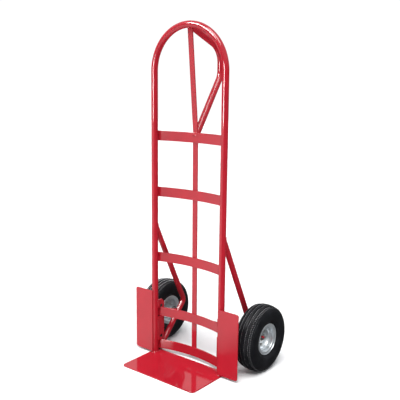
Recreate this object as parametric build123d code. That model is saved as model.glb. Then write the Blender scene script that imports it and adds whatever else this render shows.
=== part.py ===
"""Two-wheeled hand truck: a tube loop frame with a P-shaped rear handle and two pneumatic wheels.

Millimetres, +Z up. X runs across the truck, +Y points to its rear. The origin is on the floor, half way
between the legs, in the plane of the legs' axes. The toe plate reaches forward, to -Y.
"""
import os
from math import cos, pi

from build123d import *

INCH = 25.4

# Loop frame
TUBE_R = INCH / 2
TUBE_WALL = 1.65
LEG_X = 6.5 * INCH
FRAME_TOP = 1308.7
LOOP_CENTRE_Z = FRAME_TOP - TUBE_R - LEG_X

# Flat bar and plate
BAR_T = 4.76
CROSSBAR_HEIGHT = 1.5 * INCH
CROSSBAR_Z = [889.5, 670.0, 405.4, 174.9, 34.5]
TOP_CROSSBAR_BOW = 24.2
BOTTOM_CROSSBAR_BOW = 29.0
STRAP_WIDTH = 22.2
STRAP_BEND_Z = 914.0
STRAP_BEND_R = 60.0
STRAP_TOP_Y = 6.0

# Toe plate
TOE_WIDTH = 14 * INCH
TOE_FRONT_Y = -181.5
TOE_REAR_Y = 29.0
TOE_T = 4.76
TOE_CORNER_R = 16.0

# Wheel guards
GUARD_WIDTH = 3.5 * INCH
GUARD_BOTTOM_Z = 9.4
GUARD_TOP_Z = 267.9
GUARD_CORNER_R = 8.0

# P handle, its centre line as corners in the YZ plane
HANDLE_R = INCH / 2
HANDLE_START = (0.0, FRAME_TOP - TUBE_R)
HANDLE_UPPER_CORNER = (194.0, 1214.5)
HANDLE_LOWER_CORNER = (194.0, 1116.0)
HANDLE_SLOPE = 1.49
HANDLE_UPPER_BEND = 80.0
HANDLE_LOWER_BEND = 60.0
FIT_GAP = 0.05

# Axle braces, their centre line as corners in the YZ plane
BRACE_R = 7 / 16 * INCH
BRACE_WALL = 1.65
BRACE_TOP = (6.0, 531.0)
BRACE_CORNER = (181.5, 180.0)
BRACE_FOOT = (24.0, 5.0)
BRACE_BEND = 22.0

# Side brackets
BRACKET_REAR_Y = 37.0
BRACKET_BOTTOM_Z = 54.0
BRACKET_TOP_Z = 228.0
BRACKET_CHAMFER = 14.0
BRACKET_HOLE_R = 6.5
BRACKET_HOLE_Y = 19.0
BRACKET_HOLE_Z = [71.0, 201.0]
NOTCH_GAP = 0.3

# Axle and what is on it
AXLE_R = 5 / 16 * INCH
AXLE_Y = 148.4
AXLE_Z = 130.0
AXLE_END_X = 260.0
RUNNING_GAP = 0.05
SIDE_GAP = 0.3
WASHER_T = 2.0
WASHER_R = 14.5
SPACER_R = 12.5
PIN_R = 1.6
PIN_X = 255.9
PIN_EYE_R = 2.4
PIN_EYE_WIRE_R = 1.2
PIN_LEG_R = 0.96
PIN_LEG_SPREAD = 6.0
PIN_LEG_DROP = 5.0

# Wheels: u is the distance outwards from the wheel's middle plane
WHEEL_X = 245.2
TYRE_R = 130.0
TYRE_HALF_WIDTH = 44.5
TYRE_SHOULDER_R = 120.0
TYRE_SHOULDER_U = 36.0
TYRE_BELLY_R = 90.0
TYRE_BELLY_SWELL = 0.77
TYRE_FOOT_R = 63.5
TYRE_CASE_T = 6.0
BEAD_R = 51.5
BEAD_U = 28.6
BEAD_WIDTH = 9.0
GROOVE_U = [-24.0, -8.5, 8.5, 24.0]
GROOVE_WIDTH = 2.4
GROOVE_DEPTH = 3.5
INNER_TUBE_R = 88.0
INNER_TUBE_HEIGHT = 60.0
INNER_TUBE_WIDTH = 62.0
INNER_TUBE_CORNER_R = 26.0
INNER_TUBE_WALL = 2.0

# Rim halves
RIM_T = 2.4
RIM_BEND_R = 1.6
RIM_LIP_R = 62.0
RIM_LIP_U = 33.0
RIM_FLARE_R = 58.0
RIM_FLARE_U = 31.2
RIM_SEAT_R = 49.8
RIM_SEAT_OUTER_U = 29.8
RIM_SEAT_INNER_U = 17.0
RIM_STEP_R = 46.0
RIM_STEP_OUTER_U = 13.0
RIM_STEP_INNER_U = 10.0
RIM_FACE_R = 36.0
RIM_BORE_GAP = 0.2

# Hub, and the bolts and nuts round it
HUB_INNER_U = -51.8
HUB_OUTER_U = 5.3
HUB_R = 20.0
HUB_FLANGE_R = 35.0
HUB_FLANGE_T = 3.0
RIM_BOLT_CIRCLE_R = 28.0
RIM_BOLT_COUNT = 5
RIM_BOLT_R = 4.0
RIM_BOLT_HOLE_R = 4.2
RIM_BOLT_LENGTH = 17.0
RIM_BOLT_HEAD_H = 5.0
RIM_NUT_H = 6.0
HEX_ACROSS = 13.0
FIRST_BOLT_ANGLE = 145.0

# Bearings
BEARING_R = 11 / 16 * INCH
BEARING_W = 11.1
BEARING_LIP = 1.6
BALL_R = 2.2
BALL_GAP = 0.15
BALL_CIRCLE_R = 12.8
BALL_COUNT = 9
INNER_RACE_R = 11.0
OUTER_RACE_R = 14.6
SHIELD_T = 0.8
SHIELD_INSET = 0.6
SHIELD_OUTER_GAP = 0.1
SHIELD_INNER_GAP = 0.3

# Valve, square through the sloped wall of the outer rim half
VALVE_ANGLE = 253.0
VALVE_FOOT_R = 41.0
VALVE_FOOT_U = 5.6
VALVE_TILT = 42.7
VALVE_STEM_R = 4.0
VALVE_STEM_LENGTH = 22.0
VALVE_HOLE_R = 4.3
VALVE_CAP_R = 4.6
VALVE_CAP_LENGTH = 9.0
VALVE_CAP_EDGE_R = 1.2

parts = {}


def tube_along(path, radius, wall):
    """A round tube along a path, open at both ends."""
    return solid_along(path, radius) - solid_along(path, radius - wall)


def solid_along(path, radius):
    """A round bar along a path."""
    return sweep((path ^ 0) * Circle(radius), path=path)


def slab(x_range, y_range, z_range):
    """A block between two limits along each axis."""
    size = [high - low for low, high in (x_range, y_range, z_range)]
    centre = [(high + low) / 2 for low, high in (x_range, y_range, z_range)]
    return Pos(*centre) * Box(*size)


def in_yz(point, x=0.0):
    """A point of the YZ plane, at the given X."""
    return Vector(x, point[0], point[1])


def along_x(x_start, x_end, radius, y=AXLE_Y, z=AXLE_Z):
    """A cylinder parallel to the axle."""
    return Pos((x_start + x_end) / 2, y, z) * Rot(0, 90, 0) * Cylinder(radius, abs(x_end - x_start))


def ring_along_x(x_start, x_end, outer_r, inner_r):
    """A washer or sleeve on the axle."""
    low, high = sorted((x_start, x_end))
    return along_x(low, high, outer_r) - along_x(low - 1, high + 1, inner_r)


def add(name, shape):
    """Keep one named piece."""
    parts[name] = shape


# ---------------------------------------------------------------- loop frame
def leg_envelope():
    """The space that both legs and the loop fill, for trimming what is welded to them."""
    return solid_along(loop_path(), TUBE_R)


def loop_path():
    """Up the left leg, round the top and down the right leg."""
    left_leg = Line((-LEG_X, 0, TOE_T), (-LEG_X, 0, LOOP_CENTRE_Z))
    top = ThreePointArc(
        (-LEG_X, 0, LOOP_CENTRE_Z), (0, 0, LOOP_CENTRE_Z + LEG_X), (LEG_X, 0, LOOP_CENTRE_Z)
    )
    right_leg = Line((LEG_X, 0, LOOP_CENTRE_Z), (LEG_X, 0, TOE_T))
    return Wire([left_leg, top, right_leg])


def crossbar_bow(z):
    """How far a crossbar at a height bows to the rear: evenly less from the bottom one to the top one."""
    share = (z - CROSSBAR_Z[-1]) / (CROSSBAR_Z[0] - CROSSBAR_Z[-1])
    return BOTTOM_CROSSBAR_BOW + share * (TOP_CROSSBAR_BOW - BOTTOM_CROSSBAR_BOW)


def crossbar_arc(z):
    """The radius of a crossbar's front face and the Y of the arc's centre."""
    bow = crossbar_bow(z)
    radius = (LEG_X ** 2 + bow ** 2) / (2 * bow)
    return radius, TUBE_R + bow - radius


def crossbar(z):
    """A flat bar bowed to the rear, its ends on the backs of the legs."""
    radius, centre_y = crossbar_arc(z)
    ring = Circle(radius + BAR_T) - Circle(radius)
    band = Pos(0, centre_y, z) * extrude(ring, CROSSBAR_HEIGHT / 2, both=True)
    behind = (0, TUBE_R + BOTTOM_CROSSBAR_BOW + 2 * BAR_T)
    reach = slab((-LEG_X, LEG_X), behind, (z - CROSSBAR_HEIGHT, z + CROSSBAR_HEIGHT))
    return band & reach


def strap_front_y(z):
    """Where the centre strap's front face lies: against the top edge of every crossbar."""
    return TUBE_R + BAR_T + crossbar_bow(z - CROSSBAR_HEIGHT / 2)


def strap_rear_y(z):
    """Where the centre strap's rear face lies below its bend."""
    return strap_front_y(z) + BAR_T


def centre_strap():
    """A flat upright behind the crossbars that leans forward to the top of the loop."""
    bottom_z = CROSSBAR_Z[-1] - CROSSBAR_HEIGHT / 2
    bottom = in_yz((strap_front_y(bottom_z) + BAR_T / 2, bottom_z))
    bend = in_yz((strap_front_y(STRAP_BEND_Z) + BAR_T / 2, STRAP_BEND_Z))
    top = in_yz((STRAP_TOP_Y, FRAME_TOP - TUBE_R))
    path = FilletPolyline(bottom, bend, top, radius=STRAP_BEND_R)
    section = Plane(origin=bottom, x_dir=(1, 0, 0), z_dir=bend - bottom) * Rectangle(STRAP_WIDTH, BAR_T)
    return sweep(section, path=path) - leg_envelope()


def toe_plate():
    """A flat plate with rounded front corners."""
    plate = slab((-TOE_WIDTH / 2, TOE_WIDTH / 2), (TOE_FRONT_Y, TOE_REAR_Y), (0, TOE_T))
    front_corners = plate.edges().filter_by(Axis.Z).group_by(Axis.Y)[0]
    return fillet(front_corners, TOE_CORNER_R)


def wheel_guard(side):
    """A flat plate on the front of one leg, reaching out ahead of the wheel."""
    inner_x = LEG_X
    outer_x = LEG_X + GUARD_WIDTH
    x_range = sorted((side * inner_x, side * outer_x))
    plate = slab(x_range, (-TUBE_R - BAR_T, -TUBE_R), (GUARD_BOTTOM_Z, GUARD_TOP_Z))
    outer_corners = plate.edges().filter_by(Axis.Y).sort_by(Axis.X)
    outer_corners = outer_corners[-2:] if side > 0 else outer_corners[:2]
    return fillet(outer_corners, GUARD_CORNER_R)


def side_bracket(side):
    """An upright plate behind and inside one leg, notched over crossbar 4, with two bolt holes."""
    outer_x = LEG_X - BRACE_R
    inner_x = outer_x - BAR_T
    x_range = sorted((side * inner_x, side * outer_x))
    plate = slab(x_range, (0, BRACKET_REAR_Y), (BRACKET_BOTTOM_Z, BRACKET_TOP_Z))
    top_rear = plate.edges().filter_by(Axis.X).sort_by(lambda e: e.center().Y + e.center().Z)[-1]
    plate = chamfer(top_rear, BRACKET_CHAMFER)
    notch_z = CROSSBAR_Z[3]
    half_notch = CROSSBAR_HEIGHT / 2 + NOTCH_GAP
    notch_depth_y = crossbar_rear_y(notch_z, inner_x) + NOTCH_GAP
    across = sorted((0, side * 2 * LEG_X))
    plate -= slab(across, (-1, notch_depth_y), (notch_z - half_notch, notch_z + half_notch))
    for z in BRACKET_HOLE_Z:
        plate -= along_x(side * inner_x - 10, side * outer_x + 10, BRACKET_HOLE_R, BRACKET_HOLE_Y, z)
    return plate - leg_envelope()


def crossbar_rear_y(z, x):
    """The rear face of the crossbar at a height, at a distance from the middle."""
    radius, centre_y = crossbar_arc(z)
    return centre_y + ((radius + BAR_T) ** 2 - x ** 2) ** 0.5


# ---------------------------------------------------------------- handle and braces
def p_handle():
    """A round tube from the top of the loop, back, down and forward to the strap."""
    strap_rear = strap_rear_y(STRAP_BEND_Z)
    foot_y = strap_rear - HANDLE_R
    foot_z = HANDLE_LOWER_CORNER[1] - HANDLE_SLOPE * (HANDLE_LOWER_CORNER[0] - foot_y)
    path = FilletPolyline(
        in_yz(HANDLE_START),
        in_yz(HANDLE_UPPER_CORNER),
        in_yz(HANDLE_LOWER_CORNER),
        in_yz((foot_y, foot_z)),
        radius=(HANDLE_UPPER_BEND, HANDLE_LOWER_BEND),
    )
    tube = tube_along(path, HANDLE_R, TUBE_WALL)
    trimmed = tube - leg_envelope() - space_before_strap_rear()
    return trimmed.solids().sort_by(SortBy.VOLUME)[-1]


def space_before_strap_rear():
    """The space in front of the strap's rear face, which the handle tube stays out of."""
    low = STRAP_BEND_Z - 160
    high = FRAME_TOP - TUBE_R
    front = STRAP_TOP_Y - 60
    outline = Polyline(
        in_yz((strap_rear_y(low) + FIT_GAP, low)),
        in_yz((strap_rear_y(STRAP_BEND_Z) + FIT_GAP, STRAP_BEND_Z)),
        in_yz((STRAP_TOP_Y + BAR_T / 2 + FIT_GAP, high)),
        in_yz((front, high)),
        in_yz((front, low)),
        close=True,
    )
    return extrude(make_face(outline), 50, both=True)


def axle_brace(side):
    """A bent tube from one leg back over the axle and forward to the toe plate."""
    x = side * LEG_X
    run_z = BRACE_CORNER[1] - BRACE_FOOT[1]
    run_y = BRACE_CORNER[0] - BRACE_FOOT[0]
    below_y = BRACE_FOOT[0] - 20
    below_z = BRACE_FOOT[1] - 20 * run_z / run_y
    path = FilletPolyline(
        in_yz(BRACE_TOP, x), in_yz(BRACE_CORNER, x), in_yz((below_y, below_z), x), radius=BRACE_BEND
    )
    tube = tube_along(path, BRACE_R, BRACE_WALL)
    floor = slab((x - 50, x + 50), (-100, 100), (-100, TOE_T))
    axle_space = along_x(x - 50, x + 50, AXLE_R)
    leg_space = Pos(x, 0, 300) * Cylinder(TUBE_R, 600)
    ahead = slab((x - 50, x + 50), (-100, 0), (-50, 700))
    return tube - floor - axle_space - leg_space - ahead - crossbar(CROSSBAR_Z[-1])


# ---------------------------------------------------------------- axle
def axle():
    """A round bar right through both wheels, cross-drilled for the cotter pins."""
    bar = along_x(-AXLE_END_X, AXLE_END_X, AXLE_R)
    bar = chamfer(bar.edges().filter_by(GeomType.CIRCLE), 1.0)
    for side in (-1, 1):
        bar -= Pos(side * PIN_X, AXLE_Y, AXLE_Z) * Cylinder(PIN_R + 0.1, 4 * AXLE_R)
    return bar


def cotter_pin(side):
    """A split pin down through the axle: an eye on top, a shank and two legs bent apart below."""
    shank_low = AXLE_Z - AXLE_R - 1.0
    shank_high = AXLE_Z + AXLE_R + 2.0
    x = side * PIN_X
    shank = Pos(x, AXLE_Y, (shank_low + shank_high) / 2) * Cylinder(PIN_R, shank_high - shank_low)
    eye = Pos(x, AXLE_Y, shank_high + PIN_R) * Rot(0, 90, 0) * Torus(PIN_EYE_R, PIN_EYE_WIRE_R)
    pin = shank + eye
    for lean in (-1, 1):
        start = Vector(x, AXLE_Y, shank_low + PIN_R / 2)
        end = start + Vector(0, lean * PIN_LEG_SPREAD, -PIN_LEG_DROP)
        pin += solid_along(Line(start, end), PIN_LEG_R)
    return pin


def add_axle_fittings(name, side):
    """The spacer, washers and cotter pin on one end of the axle."""
    brace_face = LEG_X + BRACE_R
    hub_inner = WHEEL_X + HUB_INNER_U
    hub_outer = WHEEL_X + HUB_OUTER_U
    inner_washer_end = hub_inner - SIDE_GAP
    inner_washer_start = inner_washer_end - WASHER_T
    bore_r = AXLE_R + RUNNING_GAP
    add(f"{name}_axle_spacer", ring_along_x(side * brace_face, side * inner_washer_start, SPACER_R, bore_r))
    add(
        f"{name}_inner_washer",
        ring_along_x(side * inner_washer_start, side * inner_washer_end, WASHER_R, bore_r),
    )
    outer_start = hub_outer + SIDE_GAP
    outer_end = outer_start + WASHER_T
    add(f"{name}_outer_washer", ring_along_x(side * outer_start, side * outer_end, WASHER_R, bore_r))
    add(f"{name}_cotter_pin", cotter_pin(side))


# ---------------------------------------------------------------- wheels
# A wheel is drawn with its axis on Z, u upwards and outwards, and is then laid on the axle.
def placed(shape, side):
    """Turn a piece drawn with its axis on Z so that u points outwards on the given side."""
    return Pos(side * WHEEL_X, AXLE_Y, AXLE_Z) * Rot(0, side * 90, 0) * shape


def turned(outline):
    """Revolve a closed outline of (radius, u) points about the wheel's axis."""
    return revolve(Plane.XZ * outline, Axis.Z)


def tyre_section(shrink):
    """The tyre's rounded outline, drawn in by a distance, from bead to bead over the crown."""
    width = TYRE_HALF_WIDTH - shrink
    crown = TYRE_R - shrink
    shoulder_r = TYRE_SHOULDER_R - shrink
    shoulder_u = TYRE_SHOULDER_U - shrink
    belly_r = TYRE_BELLY_R
    belly_u = width - TYRE_BELLY_SWELL
    foot_u = BEAD_U - shrink
    foot_r = TYRE_FOOT_R
    upper = Spline(
        (foot_r, foot_u), (belly_r, belly_u), (shoulder_r, shoulder_u), tangents=[(0.6, 1.0), (0.75, -1.0)]
    )
    over = ThreePointArc((shoulder_r, shoulder_u), (crown, 0), (shoulder_r, -shoulder_u))
    lower = Spline(
        (shoulder_r, -shoulder_u),
        (belly_r, -belly_u),
        (foot_r, -foot_u),
        tangents=[(-0.75, -1.0), (-0.6, 1.0)],
    )
    return upper, over, lower


def tyre():
    """The tyre's case with plain ribs round its crown."""
    outer = tyre_section(0.0)
    inner = tyre_section(TYRE_CASE_T)
    inner_u = BEAD_U - TYRE_CASE_T
    bead_top = Polyline(
        (TYRE_FOOT_R, BEAD_U), (BEAD_R, BEAD_U), (BEAD_R, BEAD_U - BEAD_WIDTH), (TYRE_FOOT_R, inner_u)
    )
    bead_bottom = Polyline(
        (TYRE_FOOT_R, -BEAD_U), (BEAD_R, -BEAD_U), (BEAD_R, BEAD_WIDTH - BEAD_U), (TYRE_FOOT_R, -inner_u)
    )
    outline = make_face(Wire([*outer, *bead_top.edges(), *inner, *bead_bottom.edges()]))
    case = turned(outline)
    for u in GROOVE_U:
        crown_here = TYRE_R - (TYRE_R - TYRE_SHOULDER_R) * (u / TYRE_SHOULDER_U) ** 2
        groove = Pos(crown_here, u) * Rectangle(2 * GROOVE_DEPTH, GROOVE_WIDTH)
        case -= turned(groove)
    return case


def inner_tube():
    """The air tube inside the tyre, a hollow ring."""
    height, width = INNER_TUBE_HEIGHT, INNER_TUBE_WIDTH
    wall = INNER_TUBE_WALL
    ring = RectangleRounded(height, width, INNER_TUBE_CORNER_R)
    hollow = RectangleRounded(height - 2 * wall, width - 2 * wall, INNER_TUBE_CORNER_R - wall)
    return turned(Pos(INNER_TUBE_R, 0) * (ring - hollow))


def rim_half(outwards):
    """One pressed half of the rim: rolled lip, bead seat, sloped wall and bolting face."""
    corners = [
        (RIM_LIP_R, RIM_LIP_U),
        (RIM_FLARE_R, RIM_FLARE_U),
        (RIM_SEAT_R, RIM_SEAT_OUTER_U),
        (RIM_SEAT_R, RIM_SEAT_INNER_U),
        (RIM_STEP_R, RIM_STEP_OUTER_U),
        (RIM_STEP_R, RIM_STEP_INNER_U),
        (RIM_FACE_R, RIM_T / 2),
        (HUB_R + RIM_BORE_GAP, RIM_T / 2),
    ]
    path = FilletPolyline(*[Vector(r, outwards * u) for r, u in corners], radius=RIM_BEND_R)
    sheet = trace(path, line_width=RIM_T)
    half = turned(sheet)
    for angle in bolt_angles():
        half -= Rot(0, 0, angle) * Pos(RIM_BOLT_CIRCLE_R, 0, 0) * Cylinder(RIM_BOLT_HOLE_R, 20)
    return half


def bolt_angles():
    """Where the rim bolts stand round the hub."""
    return [FIRST_BOLT_ANGLE + 360 * i / RIM_BOLT_COUNT for i in range(RIM_BOLT_COUNT)]


def valve_axis():
    """A frame whose Z runs along the valve, square through the outer rim half's sloped wall."""
    return Rot(0, 0, VALVE_ANGLE) * Pos(VALVE_FOOT_R, 0, VALVE_FOOT_U) * Rot(0, -VALVE_TILT, 0)


def hub():
    """The hub sleeve with its bolting flange, bored for a bearing at each end."""
    low = HUB_INNER_U + BEARING_LIP
    high = HUB_OUTER_U - BEARING_LIP
    sleeve = Cylinder(HUB_R, high - low) - Cylinder(BEARING_R, high - low + 2)
    flange_low = -RIM_T - HUB_FLANGE_T
    flange = Cylinder(HUB_FLANGE_R, HUB_FLANGE_T) - Cylinder(HUB_R - 1, 2 * HUB_FLANGE_T)
    body = Pos(0, 0, (low + high) / 2) * sleeve + Pos(0, 0, flange_low + HUB_FLANGE_T / 2) * flange
    for angle in bolt_angles():
        body -= Rot(0, 0, angle) * Pos(RIM_BOLT_CIRCLE_R, 0, flange_low) * Cylinder(RIM_BOLT_HOLE_R, 20)
    return body


def hex_prism(across_flats, height):
    """A hexagonal prism with its base on Z = 0 and its top edge turned down."""
    corner_r = across_flats / 2 / cos(pi / 6)
    prism = extrude(RegularPolygon(corner_r, 6), height)
    on_base = (Align.CENTER, Align.CENTER, Align.MIN)
    turned_down = Cone(corner_r + height * 0.9, corner_r * 0.92, height, align=on_base)
    return prism & turned_down


def rim_bolt():
    """A hexagon bolt, its head on the outer rim half and its thread through the hub flange."""
    head = Pos(0, 0, RIM_T) * hex_prism(HEX_ACROSS, RIM_BOLT_HEAD_H)
    shank = Pos(0, 0, (RIM_T - RIM_BOLT_LENGTH) / 2) * Cylinder(RIM_BOLT_R, RIM_BOLT_LENGTH + RIM_T)
    return head + shank


def rim_nut():
    """The nut on the inner side of the hub flange."""
    nut = Rot(180, 0, 0) * hex_prism(HEX_ACROSS, RIM_NUT_H)
    nut -= Cylinder(RIM_BOLT_R, 4 * RIM_NUT_H)
    return Pos(0, 0, -RIM_T - HUB_FLANGE_T) * nut


def round_the_bolts(piece):
    """Repeat a piece at every rim bolt."""
    return [Rot(0, 0, angle) * Pos(RIM_BOLT_CIRCLE_R, 0, 0) * piece for angle in bolt_angles()]


def bearing_places():
    """The middle of each bearing along u, and which way its lip faces."""
    return [(HUB_OUTER_U - BEARING_W / 2, 1), (HUB_INNER_U + BEARING_W / 2, -1)]


def ball_track():
    """The ring that the balls run in, a little larger than the balls."""
    return Torus(BALL_CIRCLE_R, BALL_R + BALL_GAP)


def outer_race(u, facing):
    """A bearing's outer race, with the lip that seats on the hub's end."""
    race = Cylinder(BEARING_R, BEARING_W) - Cylinder(OUTER_RACE_R, BEARING_W + 2)
    lip = Pos(0, 0, facing * (BEARING_W - BEARING_LIP) / 2) * (
        Cylinder(HUB_R, BEARING_LIP) - Cylinder(BEARING_R - 1, BEARING_LIP + 1)
    )
    return Pos(0, 0, u) * (race + lip - ball_track())


def inner_race(u):
    """A bearing's inner race, bored to run on the axle."""
    race = Cylinder(INNER_RACE_R, BEARING_W) - Cylinder(AXLE_R + RUNNING_GAP, BEARING_W + 2)
    return Pos(0, 0, u) * (race - ball_track())


def bearing_shields(u):
    """The two rings that close a bearing's sides."""
    bore = Cylinder(INNER_RACE_R + SHIELD_INNER_GAP, 2 * SHIELD_T)
    ring = Cylinder(OUTER_RACE_R - SHIELD_OUTER_GAP, SHIELD_T) - bore
    reach = BEARING_W / 2 - SHIELD_INSET
    return [Pos(0, 0, u + reach) * ring, Pos(0, 0, u - reach) * ring]


def bearing_balls(u):
    """The balls of one bearing."""
    spots = [Rot(0, 0, 360 * i / BALL_COUNT) for i in range(BALL_COUNT)]
    return [spot * Pos(BALL_CIRCLE_R, 0, u) * Sphere(BALL_R) for spot in spots]


def group(pieces, side):
    """Several loose pieces of one kind as one node, placed on the axle."""
    return Compound(children=[placed(piece, side) for piece in pieces])


def add_wheel(name, side):
    """All pieces of one wheel."""
    valve = valve_axis()
    outer_half = rim_half(1) - valve * Cylinder(VALVE_HOLE_R, VALVE_STEM_LENGTH)
    on_base = (Align.CENTER, Align.CENTER, Align.MIN)
    stem = Cylinder(VALVE_STEM_R, VALVE_STEM_LENGTH, align=on_base)
    cap = Pos(0, 0, VALVE_STEM_LENGTH) * Cylinder(VALVE_CAP_R, VALVE_CAP_LENGTH, align=on_base)
    cap = fillet(cap.edges().group_by(Axis.Z)[-1], VALVE_CAP_EDGE_R)
    add(f"{name}_tyre", placed(tyre(), side))
    add(f"{name}_inner_tube", placed(inner_tube(), side))
    add(f"{name}_rim_outer_half", placed(outer_half, side))
    add(f"{name}_rim_inner_half", placed(rim_half(-1), side))
    add(f"{name}_hub", placed(hub(), side))
    add(f"{name}_rim_bolts", group(round_the_bolts(rim_bolt()), side))
    add(f"{name}_rim_nuts", group(round_the_bolts(rim_nut()), side))
    add(f"{name}_bearing_outer_races", group([outer_race(u, way) for u, way in bearing_places()], side))
    add(f"{name}_bearing_inner_races", group([inner_race(u) for u, way in bearing_places()], side))
    shields = [ring for u, way in bearing_places() for ring in bearing_shields(u)]
    balls = [ball for u, way in bearing_places() for ball in bearing_balls(u)]
    add(f"{name}_bearing_shields", group(shields, side))
    add(f"{name}_bearing_balls", group(balls, side))
    add(f"{name}_valve_stem", placed(valve * stem, side))
    add(f"{name}_valve_cap", placed(valve * cap, side))


# ---------------------------------------------------------------- the whole truck
add("loop_tube", tube_along(loop_path(), TUBE_R, TUBE_WALL))
for number, height in enumerate(CROSSBAR_Z, start=1):
    add(f"crossbar_{number}", crossbar(height))
add("centre_strap", centre_strap())
add("p_handle", p_handle())
add("toe_plate", toe_plate())
add("axle", axle())
for side_name, side_sign in (("left", -1), ("right", 1)):
    add(f"{side_name}_wheel_guard", wheel_guard(side_sign))
    add(f"{side_name}_side_bracket", side_bracket(side_sign))
    add(f"{side_name}_axle_brace", axle_brace(side_sign))
    add_axle_fittings(side_name, side_sign)
    add_wheel(side_name, side_sign)

os.makedirs("parts", exist_ok=True)
for part_name, shape in parts.items():
    export_step(shape, f"parts/{part_name}.step")
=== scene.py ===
from math import atan2, cos, hypot, pi, radians, sin, sqrt, tan

import bmesh
import bpy
from bpy.props import FloatProperty, FloatVectorProperty, IntProperty, PointerProperty
from mathutils import Matrix, Vector


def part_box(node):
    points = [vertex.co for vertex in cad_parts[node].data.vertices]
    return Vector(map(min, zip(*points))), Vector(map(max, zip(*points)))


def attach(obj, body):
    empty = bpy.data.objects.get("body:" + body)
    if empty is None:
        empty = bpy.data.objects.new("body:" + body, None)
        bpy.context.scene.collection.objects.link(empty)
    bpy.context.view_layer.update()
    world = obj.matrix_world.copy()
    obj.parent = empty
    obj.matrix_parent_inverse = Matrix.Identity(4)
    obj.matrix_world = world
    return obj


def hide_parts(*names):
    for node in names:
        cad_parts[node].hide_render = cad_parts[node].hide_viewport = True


bl_info = {
    "name": "Hand truck",
    "version": (1, 0, 0),
    "blender": (4, 5, 0),
    "location": "View3D > Sidebar > Hand truck",
    "description": "Builds a hand truck's painted frame, wheels and fittings on its CAD frame",
    "category": "Add Mesh",
}

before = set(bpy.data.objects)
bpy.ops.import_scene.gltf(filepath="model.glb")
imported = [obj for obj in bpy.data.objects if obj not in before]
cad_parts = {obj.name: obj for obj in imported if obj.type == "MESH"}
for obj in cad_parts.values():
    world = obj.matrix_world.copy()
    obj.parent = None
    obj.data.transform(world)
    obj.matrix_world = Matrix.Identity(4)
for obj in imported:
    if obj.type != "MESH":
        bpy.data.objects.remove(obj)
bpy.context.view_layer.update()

# ---------------------------------------------------------------- sizes read from the frame
SIDES = (("left", -1), ("right", 1))


def span(node, axis):
    """The lowest and highest value of a CAD node along one axis, 0 to 2 for X to Z."""
    low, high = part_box(node)
    return low[axis], high[axis]


FRAME_TOP = span("loop_tube", 2)[1]
FLOOR_PLATE_TOP = span("toe_plate", 2)[1]
TUBE_R = span("loop_tube", 1)[1]
LEG_X = span("loop_tube", 0)[1] - TUBE_R
LOOP_CENTRE_Z = FRAME_TOP - TUBE_R - LEG_X
BAR_T = span("toe_plate", 2)[1] - span("toe_plate", 2)[0]
CROSSBARS = [f"crossbar_{number}" for number in range(1, 6)]
STRAP_FRONT_TOP = span("crossbar_1", 1)[1]
STRAP_FRONT_BOTTOM = span("crossbar_5", 1)[1]
STRAP_HALF_WIDTH = span("centre_strap", 0)[1]
STRAP_TOP_Y = 0.006
STRAP_BEND_Z = span("crossbar_1", 2)[1] + 0.0055
BRACE_R = (span("left_axle_brace", 0)[1] - span("left_axle_brace", 0)[0]) / 2
AXLE_R = (span("axle", 2)[1] - span("axle", 2)[0]) / 2
AXLE_Y = sum(span("axle", 1)) / 2
AXLE_Z = sum(span("axle", 2)) / 2
TYRE_R = (span("left_tyre", 2)[1] - span("left_tyre", 2)[0]) / 2
WHEEL_X = sum(span("right_tyre", 0)) / 2
HANDLE_REAR_Y = span("p_handle", 1)[1] - TUBE_R
HANDLE_UPPER_CORNER_Z = 1.2145
HANDLE_LOWER_CORNER_Z = 1.1160
HANDLE_SLOPE = 1.49
BRACE_TOP = (0.006, 0.531)
BRACE_CORNER = (0.1815, 0.180)
BRACE_FOOT = (0.024, 0.005)
BRACE_BEND = 0.022
BRACKET_HOLE_Y = 0.019
BRACKET_HOLE_Z = (0.071, 0.201)
BRACKET_HOLE_R = 0.0065

# Bends and rounded corners
STRAP_BEND_R = 0.060
HANDLE_BENDS = (0.080, 0.060)
TOE_CORNER_R = 0.016
GUARD_CORNER_R = 0.008

# How far the strap stops short of the loop tube's centre, and the handle's foot is sunk in the strap
STRAP_TOP_GAP = TUBE_R * 0.4
HANDLE_FOOT_SINK = TUBE_R * 0.2

MERGE_DISTANCE = 1e-6
COPY_SHARP_ANGLE = radians(30)


# ---------------------------------------------------------------- what a user would change
class PaintSettings(bpy.types.PropertyGroup):
    """The enamel on the frame."""

    colour: FloatVectorProperty(
        name="Paint colour",
        description="Colour of the enamel",
        subtype="COLOR",
        size=3,
        min=0.0,
        max=1.0,
        default=(0.385, 0.0105, 0.0215),
    )
    roughness: FloatProperty(
        name="Paint roughness",
        description="Roughness of the enamel",
        subtype="FACTOR",
        default=0.22,
    )
    weld_radius: FloatProperty(
        name="Weld bead radius",
        description="Half the width of a weld bead",
        unit="LENGTH",
        default=0.0024,
    )
    edge_radius: FloatProperty(
        name="Edge rounding",
        description="Rounding of sheared plate edges",
        unit="LENGTH",
        default=0.0007,
    )


class WheelSettings(bpy.types.PropertyGroup):
    """The tread of the tyres and the plating of the rims."""

    tread_pitch_count: IntProperty(
        name="Tread pitches", description="Zigzags round the crown", default=98, min=24, max=180
    )
    groove_depth: FloatProperty(
        name="Groove depth", description="Depth of the tread grooves", unit="LENGTH", default=0.0050
    )
    rubber: FloatVectorProperty(
        name="Rubber colour",
        description="Colour of the tyre's rubber",
        subtype="COLOR",
        size=3,
        min=0.0,
        max=1.0,
        default=(0.0050, 0.0053, 0.0068),
    )
    plating: FloatVectorProperty(
        name="Plating colour",
        description="Colour of the zinc plating",
        subtype="COLOR",
        size=3,
        min=0.0,
        max=1.0,
        default=(0.70, 0.74, 0.77),
    )


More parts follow.
